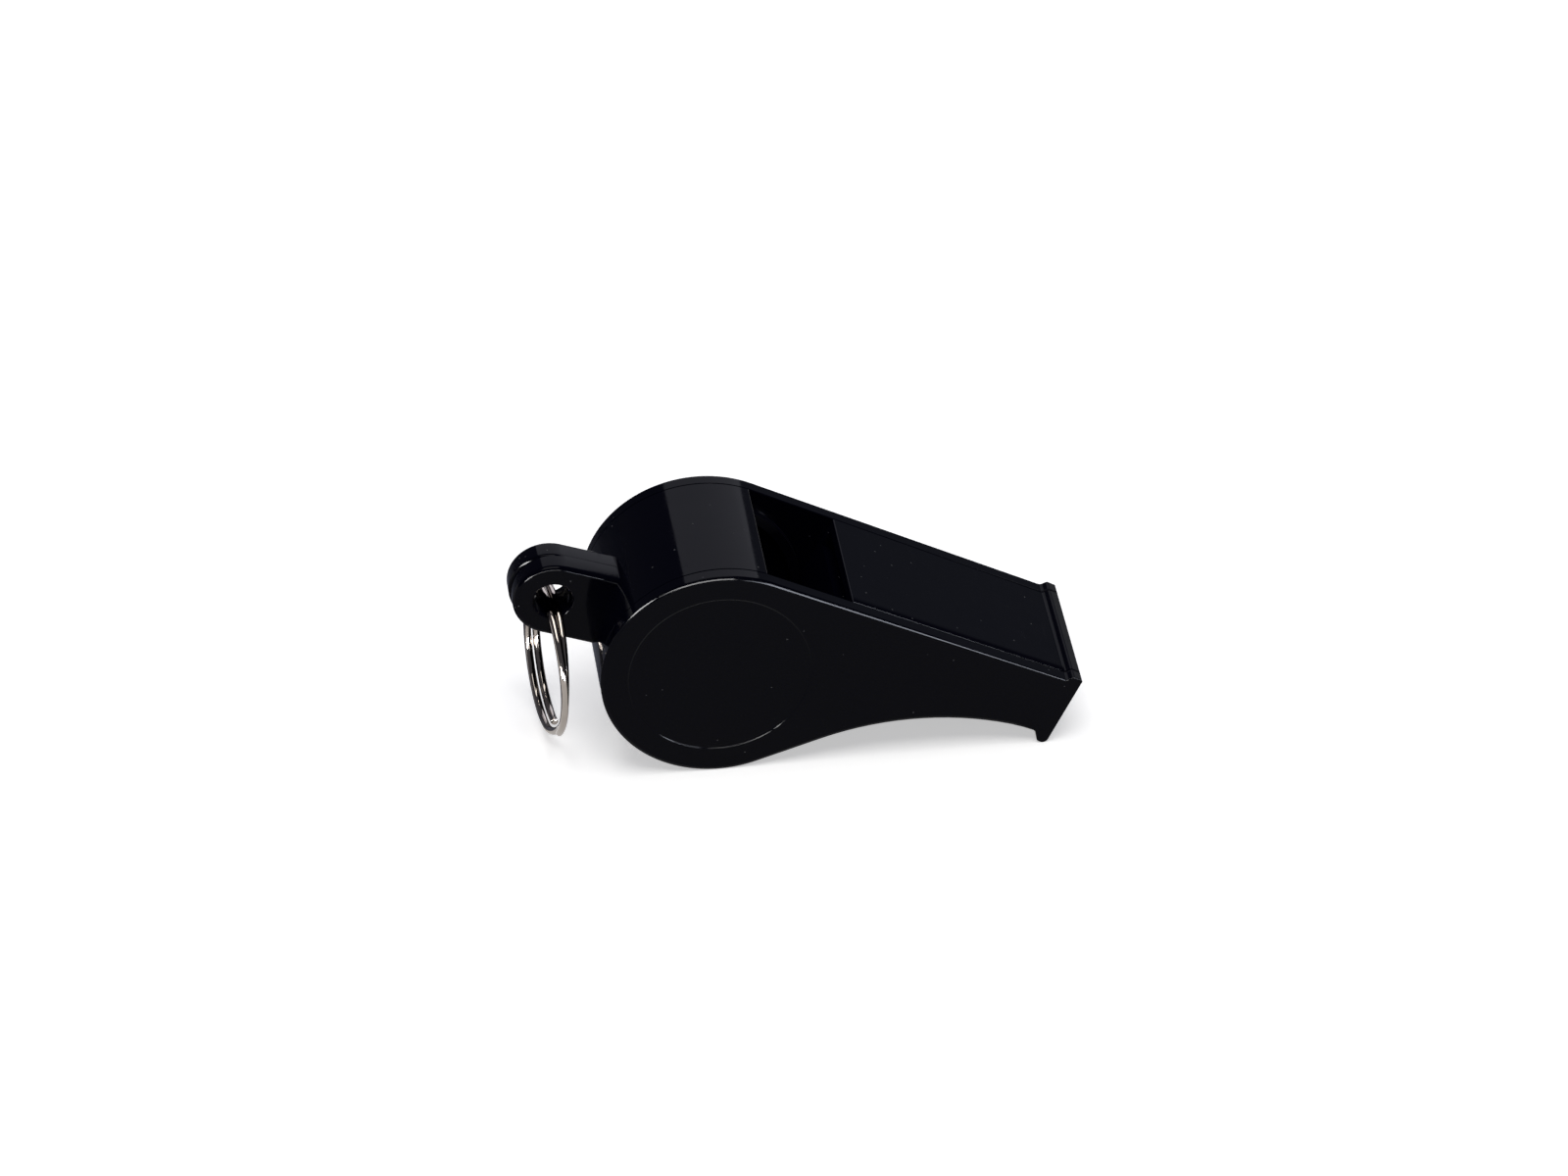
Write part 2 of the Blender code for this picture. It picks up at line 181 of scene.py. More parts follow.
# Lamps: azimuth and elevation in degrees, then distance, width and height in metres, radiance, colour
WHITE = (1.0, 1.0, 1.0)
STRIPS = {
    "front_strip": (-8.0, 9.0, 0.7, 0.5, 0.05, 66.0, WHITE),
    "left_strip": (-32.0, 6.5, 0.7, 0.2, 0.13, 115.0, WHITE),
    "right_strip": (27.0, 2.5, 0.7, 0.3, 0.055, 60.0, (0.92, 0.97, 1.1)),
}
PANELS = {
    "back_panel": (173.8, 32.0, 0.55, 0.41, 0.27, 1.3, (0.96, 0.97, 1.08)),
    "right_panel": (147.0, 14.0, 0.6, 0.2, 0.26, 0.13, (0.87, 0.98, 1.1)),
    "lip_panel": (141.6, 8.3, 0.6, 0.12, 0.04, 0.42, WHITE),
    "key": (-8.0, 76.0, 0.9, 0.6, 0.6, 3.4, (1.0, 0.995, 0.97)),
}
LAMP_AIM = 0.012  # metres above the table
ROOM = (0.12, 0.12, 0.14, 1.0)

# Camera: degrees, then its place from the drum's axis, then its lens and sensor
CAMERA_AZIMUTH, CAMERA_ELEVATION, CAMERA_ROLL = -7.949, 35.956, 0.489
CAMERA_RIGHT, CAMERA_UP, CAMERA_BACK = 7.632, 3.625, 690.4
CAMERA_LENS, CAMERA_SENSOR = 155.14, 36.0
CAMERA_CLIP = 0.01  # metres


def unit(vector):
    """A vector divided by its length."""
    return vector / np.linalg.norm(vector)


def side(along, inset=0.0):
    """Half the width at a distance along the body: it falls evenly towards the mouth."""
    return HALF_WIDTH - inset - along * SIDE_LEAN


def arc(centre, radius, start, end, step=ARC_STEP):
    """An arc: its centre plus the radius turned evenly from the start angle to the end angle."""
    count = max(3, math.ceil(abs(end - start) / math.radians(step)) + 1)
    angles = np.linspace(start, end, count)
    return np.asarray(centre) + radius * np.stack((np.cos(angles), np.sin(angles)), axis=1)


def circle(radius):
    """A circle round the drum's axis, clockwise from the mouth's side."""
    return arc((0.0, 0.0), radius, 0.0, -2 * math.pi, 360 / CIRCLE_STEPS)[:-1]


def rounded_corner(before, corner, after, radius):
    """The arc that touches both sides of a corner, with one more point on each long side to keep it flat.

    Its centre is on the half-way line, radius / sin(half angle) off the corner, and the spoke turns evenly.
    """
    back, ahead = unit(before - corner), unit(after - corner)
    half = 0.5 * math.acos(float(np.clip(back @ ahead, -1.0, 1.0)))
    reach = radius / math.tan(half)
    centre = corner + unit(back + ahead) * radius / math.sin(half)
    first, last = corner + back * reach - centre, corner + ahead * reach - centre
    span = math.pi - 2 * half
    share = np.linspace(0.0, 1.0, CORNER_STEPS + 1)[:, None]
    turned = (first * np.sin((1 - share) * span) + last * np.sin(share * span)) / math.sin(span)
    points = [centre + turned]
    if np.linalg.norm(before - corner) - reach > LONG_SIDE:
        points.insert(0, (corner + back * (reach + SIDE_START))[None])
    if np.linalg.norm(after - corner) - reach > LONG_SIDE:
        points.append((corner + ahead * (reach + SIDE_START))[None])
    return np.concatenate(points)


def round_off(corners):
    """A closed line through corners with their radii; a radius of nought keeps the corner as it is."""
    points = [np.asarray(point, float) for point, _ in corners]
    pieces = []
    for i, (_, radius) in enumerate(corners):
        after = points[(i + 1) % len(points)]
        if radius:
            pieces.append(rounded_corner(points[i - 1], points[i], after, radius))
        else:
            pieces.append(points[i][None])
    return np.concatenate(pieces)


def end_face(height):
    """The point of the mouth's end face at a height: the face leans back by its tilt."""
    return np.array((MOUTH_REACH - math.tan(END_TILT) * (height - MOUTH_MIDDLE), height))


def mouth_top():
    """Corners of the lip: its foot, its shoulder and its brow."""
    foot = np.array((LIP_START, DRUM_RADIUS))
    shoulder = foot + (LIP_RAMP, LIP_RISE)
    brow = end_face(DRUM_RADIUS + LIP_RISE - LIP_FALL)
    return [(foot, FOOT_ROUND), (shoulder, SHOULDER_ROUND), (brow, BROW_ROUND)]


def mouth_bottom_and_drum(drum_end):
    """Corners of the tooth, then the hollow underside and the drum, round to where the drum is to end.

    The hollow is the arc that has the underside's slope at the tooth and clears the drum by the ease. The
    straight line that touches both circles leads from it to the drum.
    """
    bottom = UNDERSIDE - TOOTH_DEPTH
    root = np.array((LIP_START, UNDERSIDE))
    heel = np.array((LIP_START + TOOTH_RAMP, bottom + TOOTH_HEEL_LIFT))
    down = np.array((math.sin(UNDERSIDE_SLOPE), -math.cos(UNDERSIDE_SLOPE)))
    passed = DRUM_RADIUS + UNDERSIDE_EASE
    radius = (root @ root - passed**2) / (2 * (passed - root @ down))
    centre = root + radius * down
    touch = math.atan2(centre[1], centre[0]) - math.acos((DRUM_RADIUS + radius) / math.hypot(*centre))
    start = math.atan2(*(root - centre)[::-1])
    hollow = arc(centre, radius, start, touch + math.pi)[1:]
    drum = arc((0.0, 0.0), DRUM_RADIUS, touch, drum_end)
    corners = [(end_face(bottom), TIP_ROUND), (heel, HEEL_ROUND), (root, FOOT_ROUND)]
    return corners + [(point, 0.0) for point in np.concatenate((hollow, drum))]


def plate_outline():
    """The whole side view."""
    return round_off(mouth_top() + mouth_bottom_and_drum(math.radians(-270.0)))


def airway_corners():
    """The airway's roof and floor in the side view, at the mouth and then at the window, flared."""
    return (
        end_face(AIRWAY_ROOF[1] + AIRWAY_FLARE),
        end_face(AIRWAY_FLOOR[1] - AIRWAY_FLARE),
        np.array((WINDOW_END, AIRWAY_ROOF[0] + AIRWAY_FLARE)),
        np.array((WINDOW_END, AIRWAY_FLOOR[0] - AIRWAY_FLARE)),
    )


def body_section():
    """The body cut along its middle: the outline down to the window's back edge, then round the bore.

    The bevel of that edge meets the bore where its straight line cuts the bore's circle.
    """
    edge_at = -1.5 * math.pi - math.asin(WINDOW_START / DRUM_RADIUS)
    edge = DRUM_RADIUS * np.array((math.cos(edge_at), math.sin(edge_at)))
    blade = np.array((WINDOW_START, DRUM_RADIUS - BLADE_LAND))
    slope = np.array((-BLADE_BEVEL, -1.0))
    square, product = slope @ slope, blade @ slope
    outside = blade @ blade - BORE_RADIUS**2
    reach = (-product - math.sqrt(product**2 - square * outside)) / square
    bevel_end = blade + reach * slope
    throat = np.array((WINDOW_END, math.sqrt(BORE_RADIUS**2 - WINDOW_END**2)))
    bore_start = math.atan2(*bevel_end[::-1])
    bore_end = 2 * math.pi + math.atan2(*throat[::-1])
    bore = arc((0.0, 0.0), BORE_RADIUS, bore_start, bore_end)
    mouth_roof, mouth_floor, window_roof, window_floor = airway_corners()
    return round_off(
        [((WINDOW_END, DRUM_RADIUS), WINDOW_EDGE)]
        + mouth_top()
        + [(mouth_roof, 0.0), (mouth_floor, 0.0)]
        + mouth_bottom_and_drum(edge_at)[:-1]
        + [(edge, WINDOW_EDGE), (blade, BLADE_ROUND), (bevel_end, BEVEL_ROUND)]
        + [(point, 0.0) for point in bore[1:-1]]
        + [(throat, 0.0), (window_floor, 0.0), (window_roof, 0.0)]
    )


def inward(outline):
    """Unit normals of a closed line that runs clockwise: the chord past each point, turned right."""
    chord = np.roll(outline, -1, axis=0) - np.roll(outline, 1, axis=0)
    chord /= np.linalg.norm(chord, axis=1)[:, None]
    return np.stack((chord[:, 1], -chord[:, 0]), axis=1)


def spread(outline, across):
    """Points of the body's frame from a side view and its place across the body."""
    return np.stack((outline[:, 0], np.broadcast_to(across, len(outline)), outline[:, 1]), axis=1)


def ring_cells(rows, columns, first=0, close_rows=False):
    """Grid of quads between closed loops that follow each other: each joins two neighbours of two loops."""
    row = np.arange(rows if close_rows else rows - 1)[:, None]
    column = np.arange(columns)[None, :]
    ahead = (column + 1) % columns
    lower, upper = row * columns, (row + 1) % rows * columns
    corners = (lower + column, lower + ahead, upper + ahead, upper + column)
    return first + np.stack(np.broadcast_arrays(*corners), axis=-1)


def ring_faces(rows, columns, first=0, close_rows=False):
    """The same quads as a list."""
    return ring_cells(rows, columns, first, close_rows).reshape(-1, 4).tolist()


def faces_round_hole(outer, inner, outer_split, inner_split):
    """Two many-sided faces that fill a flat face round a hole: each takes half of either loop."""
    outer, inner = np.roll(outer, -outer_split[0]), np.roll(inner, -inner_split[0])
    a = (outer_split[1] - outer_split[0]) % len(outer)
    b = (inner_split[1] - inner_split[0]) % len(inner)
    one = np.concatenate((outer[: a + 1], inner[: b + 1][::-1]))
    two = np.concatenate((outer[a:], outer[:1], inner[:1], inner[b:][::-1]))
    return [one.tolist(), two.tolist()]


def nearest(outline, point):
    """The number of the outline's point that is nearest to a point."""
    return int(np.argmin(np.linalg.norm(outline - point, axis=1)))


def into_body(points):
    """From the body's frame to the whistle as it stands: tilted about y, then moved to the drum's axis."""
    c, s = math.cos(REST_TILT), math.sin(REST_TILT)
    x, y, z = points.T
    return np.stack((x * c + z * s, y, z * c - x * s), axis=1) + DRUM_AXIS


def new_piece(name, points, faces, finish, sharp=SHARP_ANGLE):
    """A mesh piece from points in millimetres: doubles merged, faces turned outwards, sharp edges kept."""
    mesh = bpy.data.meshes.new(name)
    mesh.from_pydata((points * MM).tolist(), [], faces)
    bm = bmesh.new()
    bm.from_mesh(mesh)
    bmesh.ops.remove_doubles(bm, verts=bm.verts, dist=MERGE_WITHIN)
    bmesh.ops.recalc_face_normals(bm, faces=bm.faces)
    bm.to_mesh(mesh)
    bm.free()
    mesh.shade_smooth()
    mesh.set_sharp_from_angle(angle=math.radians(sharp))
    mesh.materials.append(finish)
    piece = bpy.data.objects.new(name, mesh)
    bpy.context.scene.collection.objects.link(piece)
    return piece


def airway_half(along):
    """Half the airway's width at a distance along the body, before its ends flare."""
    return side(along, JOINT_INSET + AIRWAY_SIDE_WALL)


def airway_loops():
    """The airway's walls: a four-cornered loop carried from the mouth to the window.

    Its height and width run evenly from end to end, and at the mouth a quarter round flares them out.
    """
    angles = np.linspace(0.0, math.pi / 2, FLARE_STEPS + 1)
    deep = AIRWAY_FLARE * (1 - np.cos(angles))
    flare = np.append(AIRWAY_FLARE * (1 - np.sin(angles)), AIRWAY_FLARE)
    along = np.append(MOUTH_REACH - deep, WINDOW_END)
    share = (along - WINDOW_END) / (MOUTH_REACH - WINDOW_END)
    roof = AIRWAY_ROOF[0] + (AIRWAY_ROOF[1] - AIRWAY_ROOF[0]) * share + flare
    floor = AIRWAY_FLOOR[0] + (AIRWAY_FLOOR[1] - AIRWAY_FLOOR[0]) * share - flare
    lean = math.tan(END_TILT) * np.clip((along - MOUTH_REACH) / AIRWAY_FLARE + 1, 0.0, 1.0)
    at_roof = along - lean * (roof - MOUTH_MIDDLE)
    at_floor = along - lean * (floor - MOUTH_MIDDLE)
    half_roof = airway_half(at_roof) + flare
    half_floor = airway_half(at_floor) + flare
    corners = (
        (at_roof, -half_roof, roof),
        (at_roof, half_roof, roof),
        (at_floor, half_floor, floor),
        (at_floor, -half_floor, floor),
    )
    return np.stack([np.stack(corner, axis=1) for corner in corners], axis=1)


def make_body(finish):
    """The moulding: its section carried across from side to side, chamfered at both joints.

    Along the ramp the left chamfer is steeper than elsewhere. The airway's two ends are cells left out of
    that grid, and the airway's loops join them.
    """
    section = body_section()
    count = len(section)
    along, height = section.T
    ramp = (height > DRUM_RADIUS - TOP_SLACK) & (along > WINDOW_END) & (along < LIP_START)
    half = airway_half(along) + AIRWAY_FLARE
    rows = [spread(section, -half), spread(section, half)]
    for (down, aside), (ramp_down, ramp_aside) in zip(JOINT_EDGE, RAMP_JOINT_EDGE):
        lower = section + inward(section) * np.where(ramp, ramp_down, down)[:, None]
        rows.insert(0, spread(lower, np.where(ramp, ramp_aside, aside) - side(lower[:, 0], JOINT_INSET)))
        lower = section + inward(section) * down
        rows.append(spread(lower, side(lower[:, 0], JOINT_INSET) - aside))
    cells = ring_cells(len(rows), count)
    kept = np.ones(cells.shape[:2], bool)
    middle = len(rows) // 2 - 1
    mouth_roof, _, _, window_floor = airway_corners()
    kept[middle, nearest(section, mouth_roof)] = False
    kept[middle, nearest(section, window_floor)] = False
    tunnel = airway_loops()
    first = len(rows) * count
    faces = cells[kept].tolist() + ring_faces(*tunnel.shape[:2], first)
    faces += [list(range(count)), list(range(first - count, first))]
    points = np.concatenate(rows + [tunnel.reshape(-1, 3)])
    return new_piece("body_moulding", into_body(points), faces, finish)


def lug_spoke(heading, radius, shift):
    """From the hole out to the lug's edge: a half circle ahead, straight flanks and a flat root behind.

    A shift draws the half circle back by its share along the lug.
    """
    turn = heading - LUG_HEADING
    ahead = np.cos(turn)
    flank = radius / np.maximum(np.abs(np.sin(turn)), TINY)
    root = LUG_ROOT / np.maximum(-ahead, TINY)
    return np.where(ahead >= 0.0, radius - shift * ahead, np.minimum(flank, root))


def lug_section():
    """The lug's section from the near end of the hole's wall over the edge to the far end.

    Each point has its shift, its radius and its place across; without a shift it goes straight round the
    hole. Both edges and both ends of the hole are quarter rounds. Near the middle the rim steps up, where
    the mould's two halves meet.
    """
    quarter = np.linspace(0.0, math.pi / 2, LUG_ROUND_STEPS + 1)
    hole_radius = LUG_HOLE + LUG_HOLE_ROUND * (1 - np.cos(quarter))
    hole_across = LUG_HALF - LUG_HOLE_ROUND * (1 - np.sin(quarter))
    edge_inset = LUG_EDGE * (1 - np.cos(quarter))
    edge_across = LUG_HALF - LUG_EDGE * (1 - np.sin(quarter))
    hole = list(zip(hole_radius, hole_across))
    edge = list(zip(edge_inset, edge_across))
    face_start = LUG_HOLE + LUG_HOLE_ROUND + FLAT_MARGIN
    face_end = LUG_EDGE + FLAT_MARGIN
    near, far = LUG_RADIUS - LUG_STEP, LUG_RADIUS
    back, out = LUG_END_NEAR, LUG_END_FAR
    return [
        *((None, radius, -across) for radius, across in hole),
        (None, face_start, -LUG_HALF),
        (back, near - face_end, -LUG_HALF),
        *((back, near - inset, -across) for inset, across in edge[::-1]),
        (back, near, -0.25),
        (back, near, -0.1),
        (0.5 * (back + out), near, -0.06),
        (0.85 * out, far - 0.01, -0.02),
        (out, far, 0.08),
        (out, far, 0.25),
        *((out, far - inset, across) for inset, across in edge),
        (out, far - face_end, LUG_HALF),
        (None, face_start, LUG_HALF),
        *((None, radius, across) for radius, across in hole[::-1]),
    ]


def make_lug(finish):
    """The lug: its section carried round the hole, with one more step at either corner of the root."""
    corner = math.atan2(LUG_RADIUS, LUG_ROOT)
    turns = np.arange(LUG_TURN_STEPS) * 2 * math.pi / LUG_TURN_STEPS
    heading = LUG_HEADING + np.sort(np.append(turns, (math.pi - corner, math.pi + corner)))
    ways = np.stack((np.cos(heading), np.sin(heading)), axis=1)
    centre = LUG_REACH * np.array((math.cos(LUG_HEADING), math.sin(LUG_HEADING)))
    loops = []
    for shift, radius, across in lug_section():
        spoke = np.full(len(heading), radius) if shift is None else lug_spoke(heading, radius, shift)
        loops.append(spread(centre + spoke[:, None] * ways, across))
    faces = ring_faces(len(loops), len(heading), close_rows=True)
    return new_piece("lug", into_body(np.concatenate(loops)), faces, finish)


def join_lug(body, lug):
    """Fuses the lug into the drum's wall and drops the loose one."""
    step = body.modifiers.new("lug", "BOOLEAN")
    step.operation, step.solver, step.object = "UNION", "EXACT", lug
    bpy.context.view_layer.update()
    joined = bpy.data.meshes.new_from_object(body.evaluated_get(bpy.context.evaluated_depsgraph_get()))
    body.modifiers.clear()
    body.data = joined
    bpy.data.objects.remove(lug)
    joined.set_sharp_from_angle(angle=math.radians(SHARP_ANGLE))


def edge_section():
    """A plate's outer edge as shares of its size: inset and depth, from the side wall to the flat face.

    A quarter round that stops at the bevel's slope, then two nearly flat bevels, then a soft break into
    the face. Each step runs along its own slope, and the steps are added up.
    """
    slope, length = np.array(EDGE_CORNER + EDGE_OUTER_BEVEL + EDGE_INNER_BEVEL + EDGE_BREAK).T
    slope = np.radians(slope)
    inset = np.concatenate(([0.0], np.cumsum(length * np.cos(slope))))
    depth = np.concatenate(([0.0], np.cumsum(length * np.sin(slope))))
    return inset / PLATE_EDGE, (depth[-1] - depth) / PLATE_EDGE


def plate_loops(outline, sign):
    """A plate's outline carried from the joint's chamfer over the side wall and the edge to the flat face.

    Each loop is the outline moved inwards and set back from the face. The edge gets finer near the lip.
    """
    normals = inward(outline)
    share = np.clip((LIP_START - outline[:, 0]) / EDGE_BLEND, 0.0, 1.0)
    edge = LIP_EDGE + (PLATE_EDGE - LIP_EDGE) * share
    none = np.zeros(len(outline))
    edge_inset, edge_depth = edge_section()
    steps = [
        (none + JOINT_CHAMFER, PLATE_THICKNESS),
        (none, PLATE_THICKNESS - JOINT_CHAMFER),
        (none, edge * edge_depth[0] + FLAT_MARGIN),
        *((edge * inset, edge * depth) for inset, depth in zip(edge_inset, edge_depth)),
        (edge * FACE_START, 0.0),
    ]
    loops = []
    for inset, depth in steps:
        moved = outline + normals * inset[:, None]
        loops.append(spread(moved, sign * side(moved[:, 0], depth)))
    return loops


def recess_section():
    """The recess from its rim inwards: radius and depth, which grows by half a cosine wave."""
    wave = np.linspace(0.0, 1.0, RECESS_STEPS + 1)
    radius = RECESS_RADIUS + RECESS_WALL * (0.5 - wave)
    depth = 0.5 * RECESS_DEPTH * (1 - np.cos(math.pi * wave))
    return [(radius[0] + FLAT_MARGIN, 0.0), *zip(radius, depth), (radius[-1] - FLAT_MARGIN, RECESS_DEPTH)]


def make_plate(name, sign, finish):
    """A side plate: its loops, the round recess in its face and the locating ring on its inside.

    The recess and the ring, which is square in section, are carried round the drum's axis. Either fills a
    hole in its face.
    """
    outline = plate_outline()
    count = len(outline)
    points = plate_loops(outline, sign)
    faces = ring_faces(len(points), count)
    locating = [
        (SPIGOT_OUTER, 0.0),
        (SPIGOT_OUTER, SPIGOT_HEIGHT),
        (SPIGOT_INNER, SPIGOT_HEIGHT),
        (SPIGOT_INNER, 0.0),
    ]
    round_count = len(circle(1.0))
    quarter_turn = round_count // 4
    top, bottom = nearest(outline, (0.0, DRUM_RADIUS)), nearest(outline, (0.0, -DRUM_RADIUS))
    face_loop = len(points) - 1
    for section, face_depth, border in ((recess_section(), 0.0, face_loop), (locating, PLATE_THICKNESS, 0)):
        first = sum(len(loop) for loop in points)
        for radius, depth in section:
            view = circle(radius)
            points.append(spread(view, sign * side(view[:, 0], face_depth + depth)))
        faces += ring_faces(len(section), round_count, first)
        last = first + (len(section) - 1) * round_count
        faces += [list(range(last, last + round_count))]
        faces += faces_round_hole(
            border * count + np.arange(count),
            first + np.arange(round_count),
            (bottom, top),
            (quarter_turn, 3 * quarter_turn),
        )
    return new_piece(name, into_body(np.concatenate(points)), faces, finish)


def make_pea(finish):
    """The cork pea: a ball whose radius is lowered by soft waves and by small round pits.

    The waves are sines along random directions; a pit lowers what lies within its own width.
    """
    rng = np.random.default_rng(PEA_SEED)
    turns = np.linspace(0, 2 * math.pi, PEA_COLUMNS + 1)[:-1]
    falls = np.linspace(0, math.pi, PEA_ROWS + 2)[1:-1]
    around, up = np.meshgrid(turns, falls)
    ways = np.stack((np.sin(up) * np.cos(around), np.sin(up) * np.sin(around), np.cos(up)), axis=-1)
    ways = np.concatenate((ways.reshape(-1, 3), ((0, 0, 1), (0, 0, -1))))
    rates = rng.normal(0.0, PEA_WAVE_RATE, (3, PEA_WAVES))
    starts = rng.uniform(0, PEA_WAVE_START, PEA_WAVES)
    waves = np.sin(ways @ rates + starts).mean(axis=1)
    pits = rng.normal(size=(PEA_PITS, 3))
    pits /= np.linalg.norm(pits, axis=1)[:, None]
    widths = rng.uniform(*PEA_PIT_WIDTH, PEA_PITS)
    apart = np.arccos(np.clip(ways @ pits.T, -1.0, 1.0))
    dents = np.exp(-((apart / widths) ** 2)).max(axis=1)
    radius = PEA_RADIUS - PEA_WAVE_DEPTH * (1 + waves) - PEA_PIT_DEPTH * dents
    points = ways * radius[:, None] + DRUM_AXIS - (0.0, 0.0, PEA_DROP)
    faces = ring_faces(PEA_ROWS, PEA_COLUMNS)
    top = PEA_ROWS * PEA_COLUMNS
    ends = np.arange(PEA_COLUMNS)
    for pole, loop in ((top, ends), (top + 1, ends + top - PEA_COLUMNS)):
        faces += np.stack((loop, np.roll(loop, -1), np.full(PEA_COLUMNS, pole)), axis=1).tolist()
    return new_piece("cork_pea", points, faces, finish, PEA_SHARP_ANGLE)


def ring_wire():
    """The wire's middle line over its two turns, below the pivot.

    The angle starts at the lowest point. In the crossover the wire eases from one turn to the other. The
    turns lie side by side at one pitch, but near the camera the right one rolls, by a bell curve of the
    angle, over to the inside of the left one.
    """
    sweep = 4 * math.pi - RING_CROSSOVER
    turned = np.linspace(-0.5 * sweep, 0.5 * sweep, RING_POINTS)
    angle = RING_SPLIT_AT + turned
    share = np.clip(turned / RING_CROSSOVER + 0.5, 0.0, 1.0)
    right = 1 - share * share * (3 - 2 * share)
    off = (angle - RING_STACK_AT + math.pi) % (2 * math.pi) - math.pi
    stack = RING_STACK * np.exp(-((off / RING_STACK_WIDTH) ** 2))
    across = RING_PITCH * (right - 0.5) * np.cos(stack) - RING_LEFT
    reach = RING_RADIUS - RING_PITCH * right * np.sin(stack)
    y, z = reach * np.sin(angle), -RING_RADIUS - reach * np.cos(angle)
    x, z = across + z * math.sin(RING_LEAN), z * math.cos(RING_LEAN)
    c, s = math.cos(RING_YAW), math.sin(RING_YAW)
    return np.stack((x * c - y * s, x * s + y * c, z), axis=1) + RING_PIVOT


def make_ring(finish):
    """The split ring: a circle carried along the wire, with a small round at both cut ends.

    The section stands square to the wire: one spoke points away from the ring's middle, one along its axis.
    """
    line = ring_wire()
    along = np.gradient(line, axis=0)
    along /= np.linalg.norm(along, axis=1)[:, None]
    out = line - (RING_PIVOT - (0.0, 0.0, RING_RADIUS))
    out -= (out * along).sum(axis=1)[:, None] * along
    out /= np.linalg.norm(out, axis=1)[:, None]
    beside = np.cross(along, out)
    end_size, end_depth = np.array(RING_END_SIZE), np.array(RING_END_DEPTH)
    size = np.concatenate((end_size, np.ones(len(line) - 2), end_size[::-1]))
    first = line[0] + end_depth[:, None] * along[0]
    last = line[-1] - end_depth[::-1, None] * along[-1]
    line = np.concatenate((first, line[1:-1], last))
    more = len(end_size) - 1
    out, beside = (np.pad(spoke, ((more, more), (0, 0)), "edge") for spoke in (out, beside))
    spin = np.arange(RING_SIDES) * 2 * math.pi / RING_SIDES
    spokes = out[:, None] * np.cos(spin)[None, :, None] + beside[:, None] * np.sin(spin)[None, :, None]
    points = line[:, None] + 0.5 * RING_WIRE * size[:, None, None] * spokes
    faces = ring_faces(len(line), RING_SIDES)
    count = len(line) * RING_SIDES
    faces += [list(range(RING_SIDES)), list(range(count - RING_SIDES, count))]
    return new_piece("steel_split_ring", points.reshape(-1, 3), faces, finish, RING_SHARP_ANGLE)


class Finish:
    """A material's nodes, joined up by name."""

    def __init__(self, name):
        self.material = bpy.data.materials.new(name)
        self.material.use_nodes = True
        self.tree = self.material.node_tree
        self.shader = self.tree.nodes["Principled BSDF"]
        self.place = self.node("ShaderNodeTexCoord").outputs["Object"]

    def node(self, kind, values=None, **settings):
        """A node with its settings; a value is either a number, or an output to join to that input."""
        made = self.tree.nodes.new(kind)
        for key, value in settings.items():
            setattr(made, key, value)
        for key, value in (values or {}).items():
            self.set(made.inputs[key], value)
        return made

    def set(self, socket, value):
        """Joins an output to a socket, or writes a value on it."""
        if isinstance(value, bpy.types.NodeSocket):
            self.tree.links.new(value, socket)
        else:
            socket.default_value = value

    def noise(self, scale, detail, stretch=None):
        """Noise over the piece, so many grains to the metre, drawn out where a stretch is given."""
        place = self.place
        if stretch:
            place = self.node("ShaderNodeMapping", {"Vector": place, "Scale": stretch}).outputs["Vector"]
        node = self.node("ShaderNodeTexNoise", {"Vector": place, "Scale": scale, "Detail": detail})
        return node.outputs["Fac"]

    def cells(self, scale):
        """Cells over the piece: each one's own random number, and the distance from its middle."""
        cells = self.node("ShaderNodeTexVoronoi", {"Vector": self.place, "Scale": scale}).outputs
        number = self.node("ShaderNodeSeparateColor", {"Color": cells["Color"]}).outputs["Red"]
        return number, cells["Distance"]

    def span(self, value, low, high, to_low=0.0, to_high=1.0):
        """A value's range spread over another, held at its ends."""
        names = ("Value", "From Min", "From Max", "To Min", "To Max")
        node = self.node("ShaderNodeMapRange", dict(zip(names, (value, low, high, to_low, to_high))))
        return node.outputs["Result"]

    def sum(self, one, other, operation="ADD"):
        """Two values added, or worked by another operation."""
        return self.node("ShaderNodeMath", {0: one, 1: other}, operation=operation).outputs["Value"]

    def mix(self, share, one, other):
        """One colour passing into another."""
        node = self.node("ShaderNodeMix", {"Factor": share, 6: one, 7: other}, data_type="RGBA")
        return node.outputs[2]

    def bump(self, height, distance, strength, under=None):
        """Surface relief of a height in metres, laid over another relief if there is one."""
        values = {"Height": height, "Distance": distance, "Strength": strength}
        if under:
            values["Normal"] = under
        return self.node("ShaderNodeBump", values).outputs["Normal"]

    def give(self, **values):
        """Values or outputs for the shader's inputs."""
        for key, value in values.items():
            self.set(self.shader.inputs[key.replace("_", " ")], value)
        return self.material


